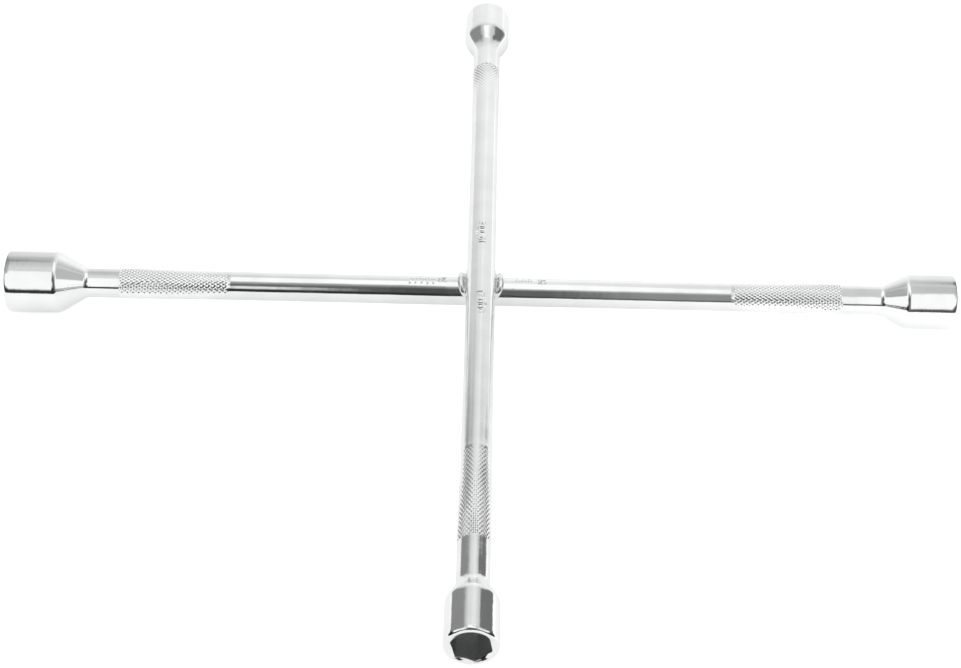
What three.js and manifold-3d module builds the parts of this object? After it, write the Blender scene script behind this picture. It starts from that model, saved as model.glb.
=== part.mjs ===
// Four-way cross lug wrench: two round steel bars crossed at their middles and pressed together
// hot, with a forged hexagon socket welded on each of the four ends.
// Frame, in millimetres: the lower bar lies along X and the upper bar along Y. X = Y = 0 is the
// crossing, and Z = 0 is the lowest point of the largest socket.
import * as THREE from 'three';
import { mergeVertices } from 'three/addons/utils/BufferGeometryUtils.js';
import Module from 'manifold-3d';

// Driving dimensions.
const OVERALL_LENGTH = 508; // mouth to mouth of either bar: a 20 inch wrench
const BAR_RADIUS = 7.65;
const AXIS_OFFSET = 10; // height of the upper bar's axis above the lower bar's axis
const FIT_GAP = 0.3; // clearance kept between a piece and the piece that cuts it

// Knurled grips, as distances from the crossing along each arm.
const KNURL_START = 134;
const KNURL_END = 194; // also the weld plane where the socket's neck begins
const KNURL_RADIUS_INNER = 7.8; // the diamonds get taller towards the socket
const KNURL_RADIUS_OUTER = 8.2;
const KNURL_RAMP = 0.6;

// Sockets, as distances from the crossing along each arm.
const NECK_RADIUS = 7.9;
const MOUTH = OVERALL_LENGTH / 2;
const SHOULDER_BLEND = 2.5;
const RIM_ROUNDING = 1.3;
const LEAD_IN_MARGIN = 0.35; // lead-in cone over the hexagon's corners, measured at the mouth
const LEAD_IN_SLOPE = Math.tan(Math.PI / 6); // depth of the lead-in for each unit of its radius
const HEX_CLEARANCE = 0.3; // the recess over the nominal size across flats
const HEX_DEPTH = 25;
const RECESS_FLOOR_CONE = 4;

// Each socket: nominal size across flats, outer diameter, where its cone starts at the neck and
// ends at the cylinder, the arm's turn about Z in quarter turns from +X, and how far one hexagon
// corner is turned up from the horizontal.
const SOCKETS = [
  { name: 'socket_21mm', flats: 21, diameter: 29.8, cone: [215.5, 228], quarter: 0, cornerDeg: 12 },
  { name: 'socket_19mm', flats: 19, diameter: 27.1, cone: [216.5, 229], quarter: 1, cornerDeg: 28 },
  { name: 'socket_23mm', flats: 23, diameter: 33.4, cone: [212, 227], quarter: 2, cornerDeg: 20 },
  { name: 'socket_17mm', flats: 17, diameter: 25.4, cone: [219, 228.5], quarter: 3, cornerDeg: 43 },
];

// Weld flash: lips of metal squeezed out beside the bar that was pressed in.
const FLASH_REACH = 12.4; // farthest the lip stands from the other bar's axis
const FLASH_HALF_WIDTH = 9.6; // half width of the lip's outline along the other bar
const FLASH_HEIGHT = 10.1; // top of the lip above its own bar's axis
const FLASH_FOOT = 0; // height above its own bar's axis where the lip has thinned to nothing

// Facets.
const ROUND_SEGMENTS = 48;
const ARC_STEPS = 3;

// Heights of the two bar axes.
const LOWER_AXIS = Math.max(...SOCKETS.map((socket) => socket.diameter)) / 2;
const UPPER_AXIS = LOWER_AXIS + AXIS_OFFSET;
const QUARTER_TURN = Math.PI / 2;

const wasm = await Module();
wasm.setup();

// Closed three.js geometry to a manifold solid, and back.
function toSolid(geometry) {
  const bare = geometry.clone();
  bare.deleteAttribute('normal');
  bare.deleteAttribute('uv');
  const merged = mergeVertices(bare);
  const index = merged.index.array;
  const triangles = [];
  for (let i = 0; i < index.length; i += 3) {
    const [a, b, c] = [index[i], index[i + 1], index[i + 2]];
    if (a !== b && b !== c && c !== a) {
      triangles.push(a, b, c);
    }
  }
  const mesh = new wasm.Mesh({
    numProp: 3,
    vertProperties: new Float32Array(merged.attributes.position.array),
    triVerts: new Uint32Array(triangles),
  });
  return new wasm.Manifold(mesh);
}

function toGeometry(solid) {
  const mesh = solid.getMesh();
  const geometry = new THREE.BufferGeometry();
  geometry.setAttribute('position', new THREE.BufferAttribute(new Float32Array(mesh.vertProperties), 3));
  geometry.setIndex(new THREE.BufferAttribute(new Uint32Array(mesh.triVerts), 1));
  geometry.computeVertexNormals();
  return geometry;
}

// A body turned about the X axis from [distance along X, radius] points.
function turned(points) {
  const profile = points.map(([along, radius]) => new THREE.Vector2(radius, along));
  return new THREE.LatheGeometry(profile, ROUND_SEGMENTS).rotateZ(-QUARTER_TURN);
}

// A cylinder along X, centred on the origin.
function rod(radius, length) {
  return new THREE.CylinderGeometry(radius, radius, length, ROUND_SEGMENTS).rotateZ(QUARTER_TURN);
}

// A round bar with a raised, slightly tapered grip band next to each end. The band stands for the
// knurling, whose diamonds rise above the drawn bar.
function barGeometry() {
  const arm = [
    [KNURL_START, BAR_RADIUS],
    [KNURL_START + KNURL_RAMP, KNURL_RADIUS_INNER],
    [KNURL_END - KNURL_RAMP, KNURL_RADIUS_OUTER],
    [KNURL_END, NECK_RADIUS],
    [KNURL_END, 0],
  ];
  const mirrored = arm.map(([along, radius]) => [-along, radius]).reverse();
  return turned([...mirrored, ...arm]);
}

// The lower bar gives way at the crossing: the upper bar sits in a saddle across it.
function notchedBarGeometry() {
  const saddle = rod(BAR_RADIUS + FIT_GAP, 4 * BAR_RADIUS).rotateZ(QUARTER_TURN);
  saddle.translate(0, 0, AXIS_OFFSET);
  return toGeometry(toSolid(barGeometry()).subtract(toSolid(saddle)));
}

// Points of a quarter-round rim from the cylinder's side to the mouth's flat face.
function rimPoints(radius) {
  const points = [];
  for (let step = 0; step <= ARC_STEPS; step += 1) {
    const angle = (QUARTER_TURN * step) / ARC_STEPS;
    points.push([
      MOUTH - RIM_ROUNDING + RIM_ROUNDING * Math.sin(angle),
      radius - RIM_ROUNDING + RIM_ROUNDING * Math.cos(angle),
    ]);
  }
  return points;
}

// Points of a smooth corner between two straight profile lines that meet at `corner`.
function cornerPoints(before, corner, after, reach) {
  const at = new THREE.Vector2(...corner);
  const back = new THREE.Vector2(...before).sub(at).setLength(reach).add(at);
  const ahead = new THREE.Vector2(...after).sub(at).setLength(reach).add(at);
  const curve = new THREE.QuadraticBezierCurve(back, at, ahead);
  return curve.getPoints(ARC_STEPS).map((point) => [point.x, point.y]);
}

// Six-sided prism along X, from the recess floor out through the mouth.
function hexagonPrism(flats, cornerDeg) {
  const cornerRadius = flats / Math.sqrt(3);
  const outline = new THREE.Shape();
  for (let corner = 0; corner < 6; corner += 1) {
    const angle = THREE.MathUtils.degToRad(cornerDeg) + (corner * Math.PI) / 3;
    const [y, z] = [cornerRadius * Math.cos(angle), cornerRadius * Math.sin(angle)];
    if (corner === 0) {
      outline.moveTo(y, z);
    } else {
      outline.lineTo(y, z);
    }
  }
  outline.closePath();
  const prism = new THREE.ExtrudeGeometry(outline, { depth: HEX_DEPTH + 1, bevelEnabled: false });
  // The outline's first axis becomes Y, its second Z, and its depth X.
  const axes = new THREE.Matrix4().makeBasis(
    new THREE.Vector3(0, 1, 0),
    new THREE.Vector3(0, 0, 1),
    new THREE.Vector3(1, 0, 0),
  );
  return prism.applyMatrix4(axes).translate(MOUTH - HEX_DEPTH, 0, 0);
}

// One socket along +X: straight neck, cone, cylinder with a rounded rim, and a hexagon recess with
// a conical lead-in and a shallow conical floor.
function socketGeometry({ flats, diameter, cone, cornerDeg }) {
  const radius = diameter / 2;
  const neckStart = [KNURL_END, NECK_RADIUS];
  const neckCorner = [cone[0], NECK_RADIUS];
  const shoulderCorner = [cone[1], radius];
  const rim = rimPoints(radius);
  const outside = turned([
    [KNURL_END, 0],
    neckStart,
    ...cornerPoints(neckStart, neckCorner, shoulderCorner, SHOULDER_BLEND),
    ...cornerPoints(neckCorner, shoulderCorner, rim[0], SHOULDER_BLEND),
    ...rim,
    [MOUTH, 0],
  ]);
  const recessFlats = flats + HEX_CLEARANCE;
  const leadInRadius = recessFlats / Math.sqrt(3) + LEAD_IN_MARGIN;
  const leadIn = turned([
    [MOUTH - leadInRadius * LEAD_IN_SLOPE, 0],
    [MOUTH, leadInRadius],
    [MOUTH + 1, leadInRadius],
    [MOUTH + 1, 0],
  ]);
  const floor = turned([
    [MOUTH - HEX_DEPTH - RECESS_FLOOR_CONE, 0],
    [MOUTH - HEX_DEPTH, recessFlats / 2 - FIT_GAP],
    [MOUTH - HEX_DEPTH + 1, recessFlats / 2 - FIT_GAP],
    [MOUTH - HEX_DEPTH + 1, 0],
  ]);
  const prism = toSolid(hexagonPrism(recessFlats, cornerDeg));
  return toGeometry(toSolid(outside).subtract(prism).subtract(toSolid(leadIn)).subtract(toSolid(floor)));
}

// The flash lip on the +X side of the crossing, in a frame whose origin is half way between the
// two bar axes. It is a crescent that wraps the lower bar and leans on the upper bar's flank, and
// it is mitred where the next lip begins.
function flashGeometry() {
  const lowerZ = -AXIS_OFFSET / 2;
  const upperZ = AXIS_OFFSET / 2;
  const boreRadius = BAR_RADIUS + FIT_GAP;
  // The crescent's outer circle passes through the lip's top and through its two feet.
  const footHalf = Math.sqrt(boreRadius ** 2 - FLASH_FOOT ** 2);
  const rise = FLASH_HEIGHT - FLASH_FOOT;
  const outerRadius = (rise ** 2 + footHalf ** 2) / (2 * rise);
  const disc = rod(outerRadius, FLASH_REACH).translate(FLASH_REACH / 2, 0, 0);
  disc.translate(0, 0, lowerZ + FLASH_HEIGHT - outerRadius);
  const column = new THREE.CylinderGeometry(1, 1, 4 * FLASH_HEIGHT, ROUND_SEGMENTS).rotateX(QUARTER_TURN);
  column.scale(FLASH_REACH, FLASH_HALF_WIDTH, 1);
  const lowerBar = rod(boreRadius, 4 * FLASH_REACH).translate(0, 0, lowerZ);
  const upperBar = rod(boreRadius, 4 * FLASH_REACH).rotateZ(QUARTER_TURN).translate(0, 0, upperZ);
  const mitre = new THREE.Shape([
    new THREE.Vector2(FIT_GAP * Math.SQRT1_2, 0),
    new THREE.Vector2(FIT_GAP * Math.SQRT1_2 + FLASH_REACH, -FLASH_REACH),
    new THREE.Vector2(FIT_GAP * Math.SQRT1_2 + FLASH_REACH, FLASH_REACH),
  ]);
  const quadrant = new THREE.ExtrudeGeometry(mitre, { depth: 4 * FLASH_HEIGHT, bevelEnabled: false });
  quadrant.translate(0, 0, -2 * FLASH_HEIGHT);
  const lip = toSolid(disc).intersect(toSolid(column)).intersect(toSolid(quadrant));
  return toGeometry(lip.subtract(toSolid(lowerBar)).subtract(toSolid(upperBar)));
}

const CHROME = { color: 0xdfe2e4, roughness: 0.12, metalness: 1 };
const WELD = { color: 0xc4c8cb, roughness: 0.28, metalness: 1 };

function piece(name, geometry, look) {
  const mesh = new THREE.Mesh(geometry, new THREE.MeshStandardMaterial(look));
  mesh.name = name;
  return mesh;
}

const wrench = new THREE.Group();

const lowerBar = piece('lower_bar', notchedBarGeometry(), CHROME);
lowerBar.position.z = LOWER_AXIS;
const upperBar = piece('upper_bar', barGeometry(), CHROME);
upperBar.position.z = UPPER_AXIS;
upperBar.rotation.z = QUARTER_TURN;
wrench.add(lowerBar, upperBar);

for (const socket of SOCKETS) {
  const mesh = piece(socket.name, socketGeometry(socket), CHROME);
  const onLowerBar = socket.quarter % 2 === 0;
  mesh.position.z = onLowerBar ? LOWER_AXIS : UPPER_AXIS;
  mesh.rotation.z = socket.quarter * QUARTER_TURN;
  wrench.add(mesh);
}

// Four lips: left and right stand on the lower bar, and front and rear hang under the upper bar.
// Half a turn about the diagonal swaps the two bars.
const crossing = new THREE.Group();
crossing.position.z = (LOWER_AXIS + UPPER_AXIS) / 2;
const swapBars = new THREE.Quaternion().setFromAxisAngle(new THREE.Vector3(1, 1, 0).normalize(), Math.PI);
const halfTurn = new THREE.Quaternion().setFromAxisAngle(new THREE.Vector3(0, 0, 1), Math.PI);
const flash = flashGeometry();
const lips = [
  { name: 'weld_flash_right', turn: new THREE.Quaternion() },
  { name: 'weld_flash_left', turn: halfTurn },
  { name: 'weld_flash_rear', turn: swapBars },
  { name: 'weld_flash_front', turn: swapBars.clone().multiply(halfTurn) },
];
for (const { name, turn } of lips) {
  const mesh = piece(name, flash.clone(), WELD);
  mesh.quaternion.copy(turn);
  crossing.add(mesh);
}
wrench.add(crossing);

export default wrench;
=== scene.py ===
"""Four-way lug wrench: visual model and studio. Metres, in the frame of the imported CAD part.

The lower bar lies along X and the upper bar along Y. Each piece replaces one CAD node and takes
its place and size from that node's box.
"""

import math

import bpy
import numpy as np
from mathutils import Matrix, Vector


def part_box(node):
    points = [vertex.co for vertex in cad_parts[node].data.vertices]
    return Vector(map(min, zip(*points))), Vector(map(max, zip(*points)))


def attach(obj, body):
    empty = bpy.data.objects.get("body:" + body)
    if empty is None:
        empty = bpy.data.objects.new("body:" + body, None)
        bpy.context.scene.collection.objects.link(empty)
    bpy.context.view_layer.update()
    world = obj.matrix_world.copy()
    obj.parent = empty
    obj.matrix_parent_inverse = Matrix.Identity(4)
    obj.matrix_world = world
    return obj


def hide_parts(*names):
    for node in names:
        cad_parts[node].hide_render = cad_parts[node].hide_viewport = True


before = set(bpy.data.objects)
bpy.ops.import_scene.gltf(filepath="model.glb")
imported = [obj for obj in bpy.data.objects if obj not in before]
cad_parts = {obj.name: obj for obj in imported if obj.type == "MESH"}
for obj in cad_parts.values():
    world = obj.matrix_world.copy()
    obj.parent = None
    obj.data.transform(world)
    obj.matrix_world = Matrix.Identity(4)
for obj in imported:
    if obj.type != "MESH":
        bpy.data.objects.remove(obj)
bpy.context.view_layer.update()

MM = 0.001
ROOT = "root"

# ---------------------------------------------------------------- places taken from the frame
ARMS = {  # node of the socket at the arm's end: quarter turns of the arm about Z from +X
    "socket_21mm": 0,
    "socket_19mm": 1,
    "socket_23mm": 2,
    "socket_17mm": 3,
}


def node_centre_z(node):
    low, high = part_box(node)
    return (low.z + high.z) / 2


LOWER_Z = node_centre_z("socket_21mm")
UPPER_Z = node_centre_z("socket_17mm")
AXIS_OFFSET = UPPER_Z - LOWER_Z
ARM_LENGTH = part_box("socket_21mm")[1].x
WELD_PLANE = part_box("lower_bar")[1].x  # where the grip ends and the socket's neck begins
GRIP_RADIUS = (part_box("lower_bar")[1].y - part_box("lower_bar")[0].y) / 2

# ---------------------------------------------------------------- sizes
BAR_RADIUS = 7.65 * MM
GRIP_START = WELD_PLANE - 60 * MM
KNURL_STARTS = 24
KNURL_PITCH = 3.0 * MM  # along the bar
GROOVE_LINES = (0.0, 0.07, 0.42, 0.58, 0.93)  # mesh lines across one groove spacing
GROOVE_DEPTHS = (1.0, 0.91, 0.05, 0.05, 0.91)  # share of the depth at each line
RING = KNURL_STARTS * len(GROOVE_LINES)
# Depth of the grooves at the inner and outer end of each arm's grip, where along the grip they
# start to deepen, and how much deeper they are on one side of the arm.
GRIPS = {
    ("lower", 1): (0.20 * MM, 0.46 * MM, -0.1, 0.0),
    ("lower", -1): (0.18 * MM, 0.46 * MM, -0.1, 0.0),
    ("upper", 1): (0.02 * MM, 0.62 * MM, 0.35, 0.1),
    ("upper", -1): (0.12 * MM, 0.50 * MM, 0.1, 0.45),
}
NECK_RADIUS = 7.9 * MM


def smoothstep(low, high, value):
    t = np.clip((value - low) / (high - low), 0.0, 1.0)
    return t * t * (3 - 2 * t)


def wave_noise(points, scale, seed, octaves=3):
    """Smooth seeded noise from sums of sines, about -1 to 1. points is (n, 3) in metres."""
    rng = np.random.default_rng(seed)
    total = np.zeros(len(points))
    weight = 0.0
    for octave in range(octaves):
        gain = 0.55**octave
        for _ in range(4):
            direction = rng.normal(size=3)
            direction /= np.linalg.norm(direction)
            turns = 2 * math.pi / (scale * 0.5**octave)
            total += gain * np.sin(points @ direction * turns + rng.uniform(0, 2 * math.pi))
        weight += gain * 2.0
    return total / weight


# ---------------------------------------------------------------- mesh building
class Shell:
    """Collects rings of vertices and the faces between them, for bodies drawn along local X."""

    def __init__(self):
        self.points = []
        self.faces = []
        self.count = 0

    def ring(self, along, radius, segments, turn=0.0):
        """A ring about X. along and radius may be numbers or one value per vertex."""
        angle = turn + np.arange(segments) * 2 * math.pi / segments
        along = np.broadcast_to(along, segments)
        radius = np.broadcast_to(radius, segments)
        self.points.append(np.column_stack([along, radius * np.cos(angle), radius * np.sin(angle)]))
        indices = np.arange(self.count, self.count + segments)
        self.count += segments
        return indices

    def tip(self, along):
        self.points.append(np.array([[along, 0.0, 0.0]]))
        self.count += 1
        return self.count - 1

    def bridge(self, first, second):
        """Faces from one ring to the next, which lies further along +X on the outside."""
        a, b = len(first), len(second)
        if a == b:
            nxt = np.roll(np.arange(a), -1)
            quads = np.column_stack([first, second, second[nxt], first[nxt]])
            self.faces.extend(quads.tolist())
            return
        fine_first = a > b
        fine, coarse = (first, second) if fine_first else (second, first)
        for i in range(len(coarse)):
            c0, c1 = coarse[i], coarse[(i + 1) % len(coarse)]
            f0, f1, f2 = fine[2 * i], fine[2 * i + 1], fine[(2 * i + 2) % len(fine)]
            for tri in ((f0, c0, f1), (f1, c0, c1), (f1, c1, f2)):
                self.faces.append(list(tri) if fine_first else [tri[0], tri[2], tri[1]])

    def cap(self, ring, tip, at_end):
        """Closes a ring with a fan to a point on the axis."""
        for i in range(len(ring)):
            a, b = ring[i], ring[(i + 1) % len(ring)]
            self.faces.append([a, tip, b] if at_end else [tip, a, b])

    def array(self):
        return np.vstack(self.points)


def turned_points(points, quarter, height):
    """Local points drawn along +X, turned by quarter turns about Z and lifted to an axis height."""
    cos, sin = ((1, 0), (0, 1), (-1, 0), (0, -1))[quarter % 4]
    x, y, z = points.T
    return np.column_stack([cos * x - sin * y, sin * x + cos * y, z + height])


def add_piece(name, points, faces, materials, nodes, sharp_deg=35.0):
    mesh = bpy.data.meshes.new(name)
    mesh.from_pydata(points.tolist(), [], faces)
    mesh.validate()
    mesh.polygons.foreach_set("use_smooth", np.ones(len(mesh.polygons), bool))
    mesh.update()
    mesh.set_sharp_from_angle(angle=math.radians(sharp_deg))
    for material in materials:
        mesh.materials.append(material)
    piece = bpy.data.objects.new(name, mesh)
    bpy.context.scene.collection.objects.link(piece)
    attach(piece, ROOT)
    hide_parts(*nodes)
    return piece


# ---------------------------------------------------------------- stamped size marks
def arc(cx, cy, rx, ry, start, end, steps=10):
    turns = np.radians(np.linspace(start, end, steps))
    return [(cx + rx * math.cos(t), cy + ry * math.sin(t)) for t in turns]


# Strokes in a box 0.56 wide and 1 high.
DIGITS = {
    "1": [[(0.12, 0.78), (0.32, 1.0), (0.32, 0.0)]],
    "2": [arc(0.28, 0.74, 0.26, 0.26, 170, -35) + [(0.02, 0.0), (0.56, 0.0)]],
    "3": [arc(0.26, 0.75, 0.26, 0.25, 150, -90), arc(0.26, 0.26, 0.28, 0.26, 90, -150)],
    "7": [[(0.0, 1.0), (0.56, 1.0), (0.18, 0.0)]],
    "9": [arc(0.28, 0.7, 0.26, 0.3, 0, 360, 16), arc(0.0, 0.7, 0.54, 0.7, 0, -62)],
}
MARK_HEIGHT = 3.2 * MM
MARK_NEAR = 18 * MM
MARK_FAR = 41 * MM
MARK_DEPTH = 0.34 * MM
MARK_STROKE = 0.40 * MM


def segment_distance(px, py, a, b):
    ax, ay = a
    dx, dy = b[0] - ax, b[1] - ay
    share = np.clip(((px - ax) * dx + (py - ay) * dy) / (dx * dx + dy * dy + 1e-18), 0, 1)
    return np.hypot(px - ax - share * dx, py - ay - share * dy)


def mark_strokes(number, bar, side):
    """Segments of a number and two rows of ticks, as (along, across) pairs, outwards from the
    crossing. On the upper bar the ticks are longer and a few of them are dots."""
    upper = bar == "upper"
    number_at, ticks_at, count = {
        ("lower", 1): (31.0, 19.0, 6),
        ("lower", -1): (18.8, 25.0, 9),
        ("upper", 1): (19.5, 27.5, 8),
        ("upper", -1): (19.5, 27.5, 8),
    }[bar, side]
    height = MARK_HEIGHT * (1.3 if upper else 1.0)
    segments = []
    x = number_at * MM
    for digit in number:
        for stroke in DIGITS[digit]:
            line = [(x + px * height, (py - 0.5) * height) for px, py in stroke]
            segments.extend(zip(line[:-1], line[1:]))
        x += 0.72 * height
    x = ticks_at * MM
    for i in range(count):
        reach = (0.5, 0.38, 0.6)[i % 3] * MM * (2.2 if upper and i < 6 else 1.0)
        segments.append(((x, -reach), (x, reach)))
        if i % 2 == 0:
            segments.append(((x + 0.5 * MM, 2.3 * MM), (x + 0.5 * MM, 2.3 * MM + reach)))
        x += (1.25 if upper else 1.6) * MM
    if upper:
        for dot in (-1.9 * MM, 0.0, 1.7 * MM):
            segments.append(((x, dot), (x + 0.25 * MM, dot)))
    return segments


def mark_carve(along, across, strokes):
    """How far the stamp sinks the surface, with a slight burr beside each stroke."""
    nearest = np.full(along.shape, 1.0)
    for a, b in strokes:
        nearest = np.minimum(nearest, segment_distance(along, across, a, b))
    groove = 1 - smoothstep(0.35 * MARK_STROKE, MARK_STROKE, nearest)
    burr = np.exp(-(((nearest - 1.35 * MARK_STROKE) / (0.4 * MARK_STROKE)) ** 2))
    return MARK_DEPTH * groove - 0.12 * MARK_DEPTH * burr


# ---------------------------------------------------------------- bars
def plain_radius(along, angle, seed):
    """The drawn bar between the grips, very slightly uneven. along is signed."""
    radius = BAR_RADIUS + 0.012 * MM * np.sin(along / (19 * MM) + 2 * angle + seed)
    return radius + 0.008 * MM * np.sin(along / (7 * MM) + 3 * angle + 2 * seed)


def grip_radius(along, angle, sunk, grip, seed):
    """Radius on the knurled grip. sunk is 1 at the bottom of a groove and 0 between grooves."""
    inner, outer, begin, lean = grip
    share = (along - GRIP_START) / (WELD_PLANE - GRIP_START)
    worn = 1 + 0.16 * np.sin(2 * angle + seed + 5 * share) + 0.10 * np.sin(3 * angle - 9 * share)
    worn = worn + lean * np.cos(angle) * (1 - share)
    depth = (inner + (outer - inner) * smoothstep(begin, 1.05, share)) * worn
    crest = BAR_RADIUS + (GRIP_RADIUS - 0.02 * MM - BAR_RADIUS) * smoothstep(-0.1, 0.95, share)
    end = smoothstep(WELD_PLANE - 1.2 * MM, WELD_PLANE, along)
    crest = crest + (NECK_RADIUS - 0.05 * MM - crest) * end
    fade = smoothstep(GRIP_START, GRIP_START + 3 * MM, along) * (1 - 0.7 * end)
    return crest - depth * sunk * fade


def groove_line(index):
    """Place of a mesh line across one family of grooves, in groove spacings."""
    lines = len(GROOVE_LINES)
    return index // lines + np.array(GROOVE_LINES)[index % lines]


def add_grip(shell, inner_ring, side, grip, seed):
    """Diamond knurling from the plain bar out to the weld. The mesh follows both families of
    grooves, which wind opposite ways and leave a blunt pyramid between them."""
    lines = len(GROOVE_LINES)
    rows = lines * int(round(2 * (WELD_PLANE - GRIP_START) / KNURL_PITCH))
    row, column = np.meshgrid(np.arange(rows + 1), np.arange(RING), indexing="ij")
    one, other = groove_line(column), groove_line(row - column)
    along = GRIP_START + KNURL_PITCH * (one + other) / 2
    angle = math.pi * (one - other) / KNURL_STARTS
    depths = np.array(GROOVE_DEPTHS)
    sunk = np.maximum(depths[column % lines], depths[(row - column) % lines])
    radius = grip_radius(along, angle, sunk, grip, seed)
    points = np.stack([side * along, radius * np.cos(angle), radius * np.sin(angle)], axis=-1)
    index = shell.count + row * RING + column
    shell.points.append(points.reshape(-1, 3))
    shell.count += row.size
    after = np.roll(index, -1, axis=1)
    faces = np.stack([index[:-2], index[1:-1], after[2:], after[1:-1]], axis=-1).reshape(-1, 4).tolist()
    faces += np.stack([index[0], after[1], after[0]], axis=-1).tolist()
    faces += np.stack([index[-2], index[-1], after[-1]], axis=-1).tolist()
    shell.faces += faces if side > 0 else [face[::-1] for face in faces]
    tip = shell.tip(side * WELD_PLANE)
    if side > 0:
        shell.bridge(inner_ring, index[0])
    else:
        shell.bridge(index[0], inner_ring)
    shell.cap(index[-1], tip, at_end=side > 0)


def bar_stations():
    """Distances along one arm up to the grip, each with the number of vertices in its ring."""
    saddle = [(x, RING) for x in np.linspace(0.0, 9 * MM, 19)]
    plain = [(x, RING) for x in np.linspace(9 * MM, MARK_NEAR, 5)[1:]]
    marks = [(x, 2 * RING) for x in np.arange(MARK_NEAR + 0.3 * MM, MARK_FAR, 0.34 * MM)]
    outer = [(x, RING) for x in np.linspace(MARK_FAR + 0.3 * MM, GRIP_START - 0.3 * MM, 20)]
    return saddle + plain + marks + outer


def bar_points(bar, numbers, seed):
    """A bar along local X. numbers are the size marks on its + and - arm."""
    arm = bar_stations()
    rings = [(-x, n) for x, n in reversed(arm[1:])] + arm
    shell = Shell()
    strokes = {1: mark_strokes(numbers[0], bar, 1), -1: mark_strokes(numbers[1], bar, -1)}
    previous = None
    for along, segments in rings:
        angle = np.arange(segments) * 2 * math.pi / segments
        radius = plain_radius(along, angle, seed)
        if MARK_NEAR < abs(along) < MARK_FAR:
            side = 1 if along > 0 else -1
            across = side * BAR_RADIUS * (math.pi / 2 - angle)
            radius = radius - mark_carve(np.full(segments, abs(along)), across, strokes[side])
        ring = shell.ring(along, radius, segments)
        if previous is None:
            first = ring
        else:
            shell.bridge(previous, ring)
        previous = ring
    add_grip(shell, first, -1, GRIPS[bar, -1], seed - 1)
    add_grip(shell, previous, 1, GRIPS[bar, 1], seed + 1)
    return shell


def add_lower_bar(materials):
    shell = bar_points("lower", ("21", "23"), 1.0)
    points = shell.array()
    # The saddle: metal that would stand inside the upper bar is pressed down under it.
    seat = BAR_RADIUS + 0.02 * MM
    under = np.abs(points[:, 0]) < seat
    depth = AXIS_OFFSET - np.sqrt(np.maximum(seat**2 - points[:, 0] ** 2, 0.0))
    points[:, 2] = np.where(under, np.minimum(points[:, 2], depth), points[:, 2])
    points = turned_points(points, 0, LOWER_Z)
    return add_piece("lower_bar_steel", points, shell.faces, materials, ["lower_bar"])


def add_upper_bar(materials):
    shell = bar_points("upper", ("19", "17"), 2.3)
    points = turned_points(shell.array(), 1, UPPER_Z)
    return add_piece("upper_bar_steel", points, shell.faces, materials, ["upper_bar"])


# ---------------------------------------------------------------- sockets
SOCKET_SEGMENTS = 180
RIM_ROUNDING = 1.3 * MM
LEAD_IN_MARGIN = 0.35 * MM  # lead-in cone over the hexagon's corners
HEX_DEPTH = 25 * MM
HEX_CORNER_CUT = 0.25 * MM
HEX_CORNER_WIDTH = 0.55 * MM
FLOOR_CONE = 4 * MM
LEAD_IN_SLOPE = math.tan(math.pi / 6)  # depth of the lead-in for each unit of its radius
SOCKETS = {
    # Size across flats of the recess, cone's start and end before the arm's end, reach of the
    # roundings at the cone's start and end, and one hexagon corner's turn in degrees.
    "socket_21mm": (21.3 * MM, (38.5 * MM, 26.0 * MM), (1.4 * MM, 1.3 * MM), 12),
    "socket_19mm": (19.3 * MM, (37.0 * MM, 25.0 * MM), (6.0 * MM, 2.2 * MM), 28),
    "socket_23mm": (23.3 * MM, (42.0 * MM, 27.0 * MM), (1.5 * MM, 1.4 * MM), 20),
    "socket_17mm": (17.3 * MM, (35.0 * MM, 25.5 * MM), (1.9 * MM, 1.8 * MM), 43),
}


def fillet(before, corner, after, reach, steps=9):
    """A corner rounded by a circular arc that starts and ends at `reach` from it."""
    before, corner, after = (np.array(p, float) for p in (before, corner, after))
    inward = (before - corner) / np.linalg.norm(before - corner)
    onward = (after - corner) / np.linalg.norm(after - corner)
    half = math.acos(np.clip(inward @ onward, -1, 1)) / 2
    middle = (inward + onward) / np.linalg.norm(inward + onward)
    centre = corner + middle * reach / math.cos(half)
    radius = reach * math.tan(half)
    sweep = math.pi / 2 - half
    across = (onward - inward) / np.linalg.norm(onward - inward)
    turns = np.linspace(-sweep, sweep, steps)
    return [tuple(centre + radius * (math.sin(t) * across - math.cos(t) * middle)) for t in turns]


def socket_profile(radius, cone, roundings, lead_in):
    """Outside of a socket as (along, radius) points, from the weld to the mouth's flat face."""
    neck = (WELD_PLANE, NECK_RADIUS)
    neck_end, cylinder_start = (ARM_LENGTH - back for back in cone)
    neck_corner = (neck_end, NECK_RADIUS)
    shoulder = (cylinder_start, radius)
    rim = (ARM_LENGTH, radius)
    face = (ARM_LENGTH, lead_in)
    points = [neck, (WELD_PLANE + 0.4 * MM, NECK_RADIUS)]
    points += [(x, NECK_RADIUS) for x in np.linspace(WELD_PLANE + 3 * MM, neck_end - 5 * MM, 4)]
    points += fillet(neck, neck_corner, shoulder, roundings[0])
    points += fillet(neck_corner, shoulder, rim, roundings[1])
    points += [(x, radius) for x in np.linspace(cylinder_start + 3 * MM, ARM_LENGTH - 3 * MM, 7)]
    points += fillet(shoulder, rim, face, RIM_ROUNDING)
    return points


def hexagon_radius(angle, flats, corner_deg):
    """Distance from the axis to a hexagon with slightly rounded corners."""
    sector = math.pi / 3
    from_corner = (angle - math.radians(corner_deg) + sector / 2) % sector - sector / 2
    sharp = (flats / 2) / np.cos(sector / 2 - np.abs(from_corner))
    corner = flats / math.sqrt(3)
    rounding = HEX_CORNER_CUT * np.exp(-((from_corner * corner / HEX_CORNER_WIDTH) ** 2))
    return sharp - rounding


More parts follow.
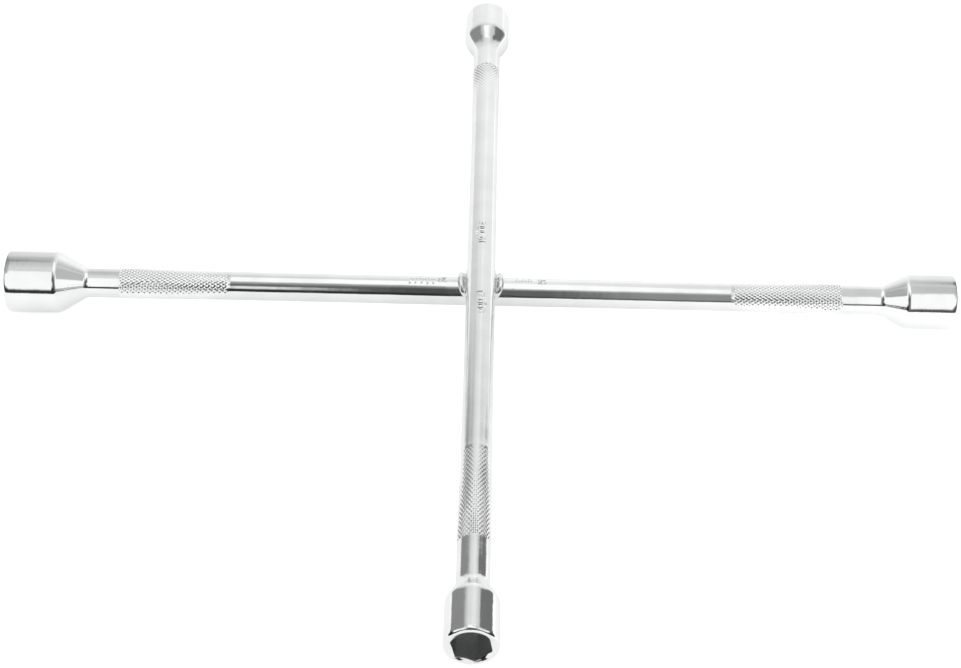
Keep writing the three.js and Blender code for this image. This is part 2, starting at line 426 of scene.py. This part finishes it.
def add_socket(node, materials):
    flats, cone, roundings, corner_deg = SOCKETS[node]
    low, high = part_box(node)
    radius = (high.z - low.z) / 2
    quarter = ARMS[node]
    height = LOWER_Z if quarter % 2 == 0 else UPPER_Z
    turn = math.radians(corner_deg)
    angle = turn + np.arange(SOCKET_SEGMENTS) * 2 * math.pi / SOCKET_SEGMENTS
    shell = Shell()

    def ring(along, ring_radius):
        return shell.ring(along, ring_radius, SOCKET_SEGMENTS, turn)

    lead_in = flats / math.sqrt(3) + LEAD_IN_MARGIN
    outside = socket_profile(radius, cone, roundings, lead_in)
    previous = ring(*outside[0])
    shell.cap(previous, shell.tip(WELD_PLANE), at_end=False)
    for along, ring_radius in outside[1:]:
        current = ring(along, ring_radius)
        shell.bridge(previous, current)
        previous = current
    # Mouth face, conical lead-in, six walls and the floor of the recess.
    wall = hexagon_radius(angle, flats, corner_deg)
    narrows = lead_in - wall
    meets = narrows * LEAD_IN_SLOPE  # depth at which the lead-in has narrowed to the walls
    inner_start = len(shell.faces)
    stations = [(ARM_LENGTH, lead_in + 0.08 * MM), (ARM_LENGTH - 0.06 * MM, lead_in)]
    stations += [(ARM_LENGTH - 0.45 * meets, lead_in - 0.45 * narrows)]
    stations += [(ARM_LENGTH - 0.84 * meets, lead_in - 0.84 * narrows)]
    stations += [(ARM_LENGTH - 0.97 * meets - 0.06 * MM, lead_in - 0.96 * narrows)]
    stations += [(ARM_LENGTH - meets - 0.3 * MM, wall)]
    stations += [(ARM_LENGTH - meets - (HEX_DEPTH - meets) * s, wall) for s in (0.12, 0.3, 0.6, 0.94)]
    floor_radius = wall - 1.2 * MM
    stations += [(ARM_LENGTH - HEX_DEPTH - 0.6 * MM, wall - 0.35 * MM)]
    stations += [(ARM_LENGTH - HEX_DEPTH - 1.0 * MM, floor_radius)]
    stations += [(ARM_LENGTH - HEX_DEPTH - FLOOR_CONE * 0.7, floor_radius * 0.45)]
    for along, ring_radius in stations:
        current = ring(along, ring_radius)
        shell.bridge(previous, current)
        previous = current
    shell.cap(previous, shell.tip(ARM_LENGTH - HEX_DEPTH - FLOOR_CONE), at_end=True)
    points = turned_points(shell.array(), quarter, height)
    piece = add_piece(node + "_steel", points, shell.faces, materials, [node], 28.0)
    # The recess takes the duller second material, from a little below the lead-in.
    slots = np.zeros(len(piece.data.polygons), np.int32)
    slots[inner_start + 5 * SOCKET_SEGMENTS :] = 1
    piece.data.polygons.foreach_set("material_index", slots)
    piece.data.update()


# ---------------------------------------------------------------- weld flash
FLASH_REACH = 12.4 * MM
FLASH_TOP = 10.25 * MM
FLASH_WRAP = 98  # degrees either side of the top


def flash_points(seed):
    """One lip on the +X side, in a frame whose origin is on the axis of the bar it stands on and
    whose Z points at the other bar. Each row is a loop across the lip, from outside to inside."""
    loop = np.linspace(0, math.pi, 25)
    rows = []
    for degrees in np.linspace(-FLASH_WRAP, FLASH_WRAP, 105):
        psi = math.radians(degrees)
        ease = smoothstep(34, FLASH_WRAP, abs(degrees))
        top = FLASH_TOP + (BAR_RADIUS + 0.1 * MM - FLASH_TOP) * ease
        outer = FLASH_REACH * math.sqrt(max(1 - (abs(degrees) / (FLASH_WRAP + 2)) ** 2.6, 0.02))
        row = []
        for t in loop:
            rise = abs(math.sin(t)) ** 0.55
            rho = BAR_RADIUS - 0.3 * MM + (top - BAR_RADIUS + 0.3 * MM) * rise
            z = rho * math.cos(psi)
            drop = AXIS_OFFSET - z
            flank = math.sqrt(max(BAR_RADIUS**2 - drop**2, 0.0))
            crevice = (0.1 + 1.45 * (1 - ease)) * MM * rise + 0.05 * MM
            inner = min(flank + crevice, outer - 0.3 * MM)
            middle, half = (inner + outer) / 2, (outer - inner) / 2
            x = middle + half * math.copysign(abs(math.cos(t)) ** 0.62, math.cos(t))
            row.append((x, rho * math.sin(psi), z))
        inside = BAR_RADIUS - 0.9 * MM
        for x in (row[-1][0], row[0][0]):
            row.append((x, inside * math.sin(psi), inside * math.cos(psi)))
        rows.append(row)
    points = np.array(rows)
    stations, around = points.shape[:2]
    flat = points.reshape(-1, 3)
    bump = wave_noise(flat, 5.0 * MM, seed)
    centre = points.mean(axis=1, keepdims=True)
    outward = points - centre
    outward /= np.linalg.norm(outward, axis=2, keepdims=True)
    points = points + outward * (0.13 * MM * bump.reshape(stations, around))[:, :, None]
    flat = points.reshape(-1, 3)
    faces = []
    for i in range(stations - 1):
        for j in range(around):
            k = (j + 1) % around
            faces.append([i * around + j, i * around + k, (i + 1) * around + k, (i + 1) * around + j])
    faces.append([j for j in range(around)][::-1])
    faces.append([(stations - 1) * around + j for j in range(around)])
    return flat, faces


def add_flash(name, node, materials, seed, quarter, hanging):
    points, faces = flash_points(seed)
    if hanging:
        # Half a turn about the X axis of the bar puts the lip under it.
        points = points * np.array([1, -1, -1])
    points = turned_points(points, quarter, UPPER_Z if hanging else LOWER_Z)
    return add_piece(name, points, faces, materials, [node], 50.0)


# ---------------------------------------------------------------- shader helpers
class Graph:
    """Small helper that adds shader nodes and links them."""

    def __init__(self, tree):
        self.tree = tree
        tree.nodes.clear()

    def node(self, kind, **inputs):
        made = self.tree.nodes.new(kind)
        for key, value in inputs.items():
            self.feed(made.inputs[key.replace("_", " ")], value)
        return made

    def feed(self, socket, value):
        if isinstance(value, bpy.types.NodeSocket):
            self.tree.links.new(value, socket)
        else:
            socket.default_value = value

    def math(self, operation, *values):
        made = self.tree.nodes.new("ShaderNodeMath")
        made.operation = operation
        for socket, value in zip(made.inputs, values):
            self.feed(socket, value)
        return made.outputs[0]

    def degrees(self, operation, *values):
        return self.math("DEGREES", self.math(operation, *values))

    def ramp(self, value, low, high, to_low=0.0, to_high=1.0):
        made = self.tree.nodes.new("ShaderNodeMapRange")
        made.interpolation_type = "SMOOTHSTEP"
        for key, val in (("Value", value), ("From Min", low), ("From Max", high)):
            self.feed(made.inputs[key], val)
        made.inputs["To Min"].default_value = to_low
        made.inputs["To Max"].default_value = to_high
        return made.outputs[0]

    def mix(self, factor, a, b):
        made = self.tree.nodes.new("ShaderNodeMix")
        made.data_type = "FLOAT"
        self.feed(made.inputs["Factor"], factor)
        self.feed(made.inputs["A"], a)
        self.feed(made.inputs["B"], b)
        return made.outputs["Result"]


# ---------------------------------------------------------------- materials
def object_coordinates(graph, scale):
    coordinates = graph.node("ShaderNodeTexCoord")
    mapping = graph.node("ShaderNodeMapping")
    graph.feed(mapping.inputs["Vector"], coordinates.outputs["Object"])
    mapping.inputs["Scale"].default_value = scale
    return mapping.outputs["Vector"]


def noise(graph, vector, scale, detail):
    made = graph.node("ShaderNodeTexNoise")
    graph.feed(made.inputs["Vector"], vector)
    made.inputs["Scale"].default_value = scale
    made.inputs["Detail"].default_value = detail
    return made.outputs["Fac"]


def chrome(name, shade, roughness, along=(1, 1, 1), scratch=0.5, wave=0.5, grain=0.0, grip_painted_sheen=1.0):
    """Bright plate: fine drawing lines along the piece, faint ripples, cloudy wiped patches and,
    where grain is above 0, darker specks. The grip factor is painted light: it brightens the plate on
    the grips of a bar along X, a painted sheen standing in for the glints of the knurling."""
    material = bpy.data.materials.new(name)
    material.use_nodes = True
    graph = Graph(material.node_tree)
    plain = object_coordinates(graph, (1, 1, 1))
    drawn = object_coordinates(graph, along)
    clouds = noise(graph, plain, 60.0, 4.0)
    lines = noise(graph, drawn, 900.0, 2.0)
    ripple = noise(graph, plain, 90.0, 2.0)
    tone = graph.mix(graph.ramp(clouds, 0.35, 0.7), shade, shade * 0.95)
    specks = noise(graph, drawn, 1500.0, 3.0)
    tone = graph.math("MULTIPLY", tone, graph.ramp(specks, 0.36, 0.60, 1.0 - grain, 1.0 + 0.3 * grain))
    place = graph.node("ShaderNodeTexCoord").outputs["Object"]
    along_x = graph.math("ABSOLUTE", graph.node("ShaderNodeSeparateXYZ", Vector=place).outputs["X"])
    # Painted sheen: the plate grows brighter over the first 18 mm of each grip and stays so out to the
    # weld.
    grip_end = GRIP_START + 18 * MM
    tone = graph.math("MULTIPLY", tone, graph.ramp(along_x, GRIP_START, grip_end, 1.0, grip_painted_sheen))
    colour = graph.node("ShaderNodeCombineColor")
    graph.feed(colour.inputs["Red"], graph.math("MULTIPLY", tone, 0.992))
    graph.feed(colour.inputs["Green"], tone)
    graph.feed(colour.inputs["Blue"], graph.math("MULTIPLY", tone, 1.004))
    rough = graph.math("ADD", roughness, graph.ramp(clouds, 0.4, 0.8, 0.0, roughness * 0.8))
    rough = graph.math("ADD", rough, graph.ramp(lines, 0.45, 0.75, 0.0, roughness * 0.5))
    fine = graph.node("ShaderNodeBump", Strength=scratch, Distance=0.00002, Height=lines)
    coarse = graph.node("ShaderNodeBump", Strength=wave, Distance=0.0002, Height=ripple)
    graph.feed(coarse.inputs["Normal"], fine.outputs["Normal"])
    surface = graph.node("ShaderNodeBsdfPrincipled", Metallic=1.0)
    graph.feed(surface.inputs["Base Color"], colour.outputs[0])
    graph.feed(surface.inputs["Roughness"], rough)
    graph.feed(surface.inputs["Normal"], coarse.outputs["Normal"])
    output = graph.node("ShaderNodeOutputMaterial")
    graph.feed(output.inputs["Surface"], surface.outputs[0])
    return material


# ---------------------------------------------------------------- studio
# The studio is a dome close by, not a far-away sky, so that each part of the wrench mirrors it
# from its own place. All its levels are chosen for the view from the scene's camera.
STUDIO_RADIUS = 0.8
STUDIO_CENTRE = Vector((0, 0.10, LOWER_Z + 0.35))


def build_world():
    """White for the camera, and the soft light that falls on the floor."""
    world = bpy.data.worlds.new("studio_light")
    bpy.context.scene.world = world
    world.use_nodes = True
    graph = Graph(world.node_tree)
    background = graph.node("ShaderNodeBackground", Color=(1, 1, 1, 1), Strength=1.0)
    output = graph.node("ShaderNodeOutputWorld")
    graph.feed(output.inputs["Surface"], background.outputs[0])


def stage_mesh(name, points, faces, emission):
    """A glowing surface that only mirror reflections see. emission(graph) gives its strength and
    how much of it shows, from 0 for clear to 1."""
    mesh = bpy.data.meshes.new(name)
    mesh.from_pydata([tuple(p) for p in points], [], faces)
    material = bpy.data.materials.new(name)
    material.use_nodes = True
    graph = Graph(material.node_tree)
    strength, share = emission(graph)
    glow = graph.node("ShaderNodeEmission", Color=(1, 1, 1, 1), Strength=strength)
    clear = graph.node("ShaderNodeBsdfTransparent")
    both = graph.node("ShaderNodeMixShader", Fac=share)
    graph.tree.links.new(clear.outputs[0], both.inputs[1])
    graph.tree.links.new(glow.outputs[0], both.inputs[2])
    output = graph.node("ShaderNodeOutputMaterial")
    graph.feed(output.inputs["Surface"], both.outputs[0])
    mesh.materials.append(material)
    shown = bpy.data.objects.new(name, mesh)
    bpy.context.scene.collection.objects.link(shown)
    shown.visible_camera = False
    shown.visible_diffuse = False
    shown.visible_shadow = False
    return shown


def studio_levels(graph, side, tilt):
    """Brightness of the studio around the wrench. tilt runs in degrees from the camera's side over
    the top to the back, side from -1 at the left to 1 at the right."""
    ramp, mix, math_node = graph.ramp, graph.mix, graph.math

    def product(*values):
        total = values[0]
        for value in values[1:]:
            total = math_node("MULTIPLY", total, value)
        return total

    def total_of(*values):
        total = values[0]
        for value in values[1:]:
            total = math_node("ADD", total, value)
        return total

    def inside(value, low, high, soft):
        """1 between low and high, fading to 0 over soft at both ends."""
        return product(ramp(value, low - soft, low + soft), ramp(value, high - soft, high + soft, 1.0, 0.0))

    # Pale wall behind, brighter near the table, with darker room past its edges.
    wall = total_of(0.77, ramp(tilt, 140, 172, 0.0, 0.13), ramp(tilt, 165, 190, 0.0, 0.06))
    wall = total_of(wall, product(inside(side, 0.0, 0.3, 0.12), 0.09))
    high_left = ramp(side, -0.8, -0.2, 0.46, 1.0)
    low_left = ramp(side, -0.8, -0.15, 0.70, 1.0)
    wall = product(wall, mix(ramp(tilt, 150, 175), high_left, low_left))
    high_right = ramp(side, 0.3, 0.75, 1.0, 0.66)
    low_right = ramp(side, 0.4, 0.8, 1.0, 0.86)
    wall = product(wall, mix(ramp(tilt, 140, 165), high_right, low_right))
    beyond = ramp(side, -0.3, 0.3, 0.27, 0.18)
    left_edge = total_of(-0.57, ramp(tilt, 122, 168, 0.0, -0.20))
    right_edge = total_of(0.62, ramp(tilt, 138, 168, 0.0, 0.19))
    past_left = ramp(math_node("SUBTRACT", side, left_edge), -0.09, 0.09, 1.0, 0.0)
    past_right = ramp(math_node("SUBTRACT", side, right_edge), -0.05, 0.05)
    wall = mix(math_node("MAXIMUM", past_left, past_right), wall, beyond)
    # Overhead softbox, cut off at a slant at its right rear corner.
    front_edge = ramp(side, -0.04, 0.04, 64.0, 49.0)
    rear_edge = ramp(side, -0.05, 0.45, 121.0, 92.0)
    after_front = ramp(math_node("SUBTRACT", tilt, front_edge), -8.0, 8.0)
    before_rear = ramp(math_node("SUBTRACT", tilt, rear_edge), -4.0, 4.0, 1.0, 0.0)
    middle = mix(before_rear, 0.84, 1.08)
    # The gap in front, where the camera stands, lit faintly from the left.
    gap_left = total_of(0.07, ramp(tilt, 26, 60, 0.0, 0.28), ramp(side, -0.2, -0.05, 0.06, 0.0))
    patch = product(inside(side, -0.42, -0.2, 0.07), inside(tilt, -8, 14, 6.0))
    gap_left = mix(patch, gap_left, 0.85)
    gap_right = total_of(ramp(side, 0.07, 0.2, 0.12, 0.28), ramp(tilt, 24, 46, 0.0, 0.27))
    gap = mix(ramp(side, -0.06, 0.02), gap_left, gap_right)
    middle = mix(after_front, gap, middle)
    # Left softbox with the side wall above it.
    upper = ramp(side, -0.67, -0.59, 0.42, 0.70)
    box_top = ramp(side, -0.66, -0.6, 42.0, 62.0)
    left = mix(ramp(math_node("SUBTRACT", tilt, box_top), -4.0, 4.0), 1.06, upper)
    left = product(left, mix(ramp(tilt, 60, 75), 1.0, ramp(tilt, 72, 118, 1.12, 0.86)))
    # Right softbox: its top slants up to the right.
    upper = ramp(side, 0.36, 0.72, 0.70, 0.52)
    upper = mix(ramp(tilt, 96, 112), upper, 0.66)
    box_top = ramp(side, 0.33, 0.62, 30.0, 57.0)
    box = ramp(math_node("SUBTRACT", tilt, box_top), -5.0, 5.0, 1.0, 0.0)
    far_box = ramp(tilt, 20, 28, 1.0, 0.0)
    box = mix(ramp(side, 0.62, 0.64), box, far_box)
    right = mix(box, upper, 1.06)
    front = mix(ramp(side, -0.385, -0.355), left, middle)
    front = mix(ramp(side, 0.335, 0.37), front, right)
    # Dark past the front edge of the table.
    strip_top = total_of(ramp(side, -0.4, -0.34, -21.0, -12.0), ramp(side, -0.02, 0.1, 0.0, -10.0))
    strip_top = total_of(strip_top, ramp(side, -0.56, -0.48, 7.0, 0.0), ramp(side, 0.48, 0.56, 0.0, 13.0))
    strip = ramp(math_node("SUBTRACT", tilt, strip_top), -4.0, 4.0, 1.0, 0.0)
    front = mix(strip, front, ramp(side, -0.05, 0.2, 0.03, 0.09))
    return mix(ramp(tilt, 119, 127), front, wall)


def add_studio():
    """A dome around the wrench that carries everything the plate mirrors above the table."""

    def emission(graph):
        place = graph.node("ShaderNodeTexCoord").outputs["Object"]
        unit = graph.tree.nodes.new("ShaderNodeVectorMath")
        unit.operation = "NORMALIZE"
        graph.feed(unit.inputs[0], place)
        side, depth, up = graph.node("ShaderNodeSeparateXYZ", Vector=unit.outputs[0]).outputs
        tilt = graph.degrees("ARCTAN2", up, graph.math("MULTIPLY", depth, -1.0))
        # Directions a little below the back's horizon count on from 180 degrees.
        below = graph.math("LESS_THAN", tilt, -120.0)
        tilt = graph.math("ADD", tilt, graph.math("MULTIPLY", below, 360.0))
        return studio_levels(graph, side, tilt), 1.0

    around, high = 96, 48
    points = [(0, 0, -STUDIO_RADIUS), (0, 0, STUDIO_RADIUS)]
    for j in range(1, high):
        low = math.pi * j / high
        for i in range(around):
            turn = 2 * math.pi * i / around
            ring = STUDIO_RADIUS * math.sin(low)
            points.append((ring * math.cos(turn), ring * math.sin(turn), -STUDIO_RADIUS * math.cos(low)))
    faces = []
    for i in range(around):
        k = (i + 1) % around
        faces.append((0, 2 + k, 2 + i))
        last = 2 + (high - 2) * around
        faces.append((1, last + i, last + k))
        for j in range(high - 2):
            a, b = 2 + j * around, 2 + (j + 1) * around
            faces.append((a + i, a + k, b + k, b + i))
    dome = stage_mesh("studio_dome", points, faces, emission)
    dome.location = STUDIO_CENTRE


PANELS = {  # name: a corner, the two edges from it, brightness, longest mirror ray that sees it
    "lamp_over_far_socket": ((-0.43, 0.47, 0.98), (0.65, 0, 0), (0, 0.13, 0.04), 1.12, 1.045),
    "table_edge_light": ((-0.02, -0.30, 0.020), (0.04, 0, 0), (0, 0, 0.015), 0.95, 0.07),
    "table_edge_dark": ((-0.30, -0.37, 0.008), (0.60, 0, 0), (0, 0, 0.067), 0.015, 0.30),
}


def add_panel(name, corner, edge_a, edge_b, strength, reach):
    """A flat panel seen only by mirror reflections from closer than reach."""
    steps = 6
    points, faces = [], []
    for j in range(steps + 1):
        for i in range(steps + 1):
            points.append(Vector(corner) + Vector(edge_a) * (i / steps) + Vector(edge_b) * (j / steps))
    for j in range(steps):
        for i in range(steps):
            a = j * (steps + 1) + i
            faces.append((a, a + 1, a + steps + 2, a + steps + 1))

    def emission(graph):
        distance = graph.node("ShaderNodeLightPath").outputs["Ray Length"]
        return strength, graph.math("LESS_THAN", distance, reach)

    stage_mesh(name, points, faces, emission)


FLOOR_HALF_WIDTH = 0.55
FLOOR_FRONT = -0.42
FLOOR_BACK = 2.48


def add_floor():
    """The wrench rests on its two lower sockets and tips back until the far socket touches."""
    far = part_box("socket_19mm")
    slope = (far[0].z - 0.9 * MM) / (ARM_LENGTH - 12 * MM)
    steps = 24
    line_x = np.linspace(-FLOOR_HALF_WIDTH, FLOOR_HALF_WIDTH, steps + 1)
    line_y = np.linspace(FLOOR_FRONT, FLOOR_BACK, steps + 1)
    grid_x, grid_y = np.meshgrid(line_x, line_y, indexing="ij")
    left_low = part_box("socket_23mm")[0].z
    right_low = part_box("socket_21mm")[0].z
    roll = (right_low - left_low) / (2 * ARM_LENGTH - 25 * MM)
    grid_z = (left_low + right_low) / 2 + grid_y * slope + grid_x * roll - 0.05 * MM
    points = np.column_stack([grid_x.ravel(), grid_y.ravel(), grid_z.ravel()])
    faces = []
    for i in range(steps):
        for j in range(steps):
            a = i * (steps + 1) + j
            faces.append([a, a + steps + 1, a + steps + 2, a + 1])
    mesh = bpy.data.meshes.new("floor")
    mesh.from_pydata(points.tolist(), [], faces)
    material = bpy.data.materials.new("pale_floor")
    material.use_nodes = True
    graph = Graph(material.node_tree)
    matte = graph.node("ShaderNodeBsdfDiffuse", Color=(0.74, 0.74, 0.74, 1))
    # Bright to the camera, so that soft shadows wash out. The plate mirrors it at another level,
    # higher towards the two ends of the lower bar.
    path = graph.node("ShaderNodeLightPath")
    place = graph.node("ShaderNodeTexCoord").outputs["Object"]
    across = graph.node("ShaderNodeSeparateXYZ", Vector=place).outputs["X"]
    mirrored = graph.math("ADD", 0.24, graph.ramp(across, 0.03, 0.22, 0.0, 0.20))
    mirrored = graph.math("ADD", mirrored, graph.ramp(across, -0.24, -0.12, 0.07, 0.0))
    strength = graph.mix(path.outputs["Is Camera Ray"], mirrored, 0.56)
    glow = graph.node("ShaderNodeEmission", Color=(1, 1, 1, 1), Strength=strength)
    both = graph.node("ShaderNodeAddShader")
    graph.tree.links.new(matte.outputs[0], both.inputs[0])
    graph.tree.links.new(glow.outputs[0], both.inputs[1])
    output = graph.node("ShaderNodeOutputMaterial")
    graph.feed(output.inputs["Surface"], both.outputs[0])
    mesh.materials.append(material)
    floor = bpy.data.objects.new("floor", mesh)
    bpy.context.scene.collection.objects.link(floor)


# ---------------------------------------------------------------- camera
CAMERA_PLACE = Vector((3.3, -807.3, 682.6)) * MM  # from the crossing, on the lower bar's axis
CAMERA_YAW, CAMERA_PITCH, CAMERA_ROLL = -0.21, -41.46, 1.16  # degrees
CAMERA_LENS = 73.4


def add_camera():
    data = bpy.data.cameras.new("camera")
    data.lens = CAMERA_LENS
    data.sensor_width = 36.0
    camera = bpy.data.objects.new("camera", data)
    bpy.context.scene.collection.objects.link(camera)
    place = CAMERA_PLACE + Vector((0, 0, LOWER_Z))
    turn = Matrix.Rotation(math.radians(-CAMERA_YAW), 4, "Z")
    turn = turn @ Matrix.Rotation(math.radians(90 + CAMERA_PITCH), 4, "X")
    turn = turn @ Matrix.Rotation(math.radians(CAMERA_ROLL), 4, "Z")
    camera.matrix_world = Matrix.Translation(place) @ turn
    bpy.context.scene.camera = camera


# ---------------------------------------------------------------- assembly
BRIGHT = (0.92, 0.07)  # shade and roughness of the bright plate
# The lower bar's grips carry a painted sheen: their plate is 7.5% brighter than on the plain bar.
bar_x = chrome("bar_chrome_x", *BRIGHT, (0.04, 1, 1), grip_painted_sheen=1.075)
bar_y = chrome("bar_chrome_y", *BRIGHT, (1, 0.04, 1))
socket_x = chrome("socket_chrome_x", *BRIGHT, (1, 0.3, 0.3), scratch=0.8)
socket_y = chrome("socket_chrome_y", *BRIGHT, (0.8, 0.25, 0.8), scratch=1.0, wave=0.8)
recess = chrome("recess_chrome", 0.82, 0.30, (1, 1, 1), scratch=0.8, wave=0.8, grain=0.12)
weld = chrome("weld_chrome", 0.88, 0.12, (1, 1, 1), scratch=0.8, wave=1.0)

add_lower_bar([bar_x])
add_upper_bar([bar_y])
for socket_node in SOCKETS:
    skin = socket_x if ARMS[socket_node] % 2 == 0 else socket_y
    add_socket(socket_node, [skin, recess])
add_flash("flash_right_metal", "weld_flash_right", [weld], 11, 0, False)
add_flash("flash_left_metal", "weld_flash_left", [weld], 12, 2, False)
add_flash("flash_rear_metal", "weld_flash_rear", [weld], 13, 1, True)
add_flash("flash_front_metal", "weld_flash_front", [weld], 14, 3, True)

build_world()
add_studio()
for panel_name, panel in PANELS.items():
    add_panel(panel_name, *panel)
add_floor()
add_camera()
bpy.context.scene.view_settings.view_transform = "Standard"
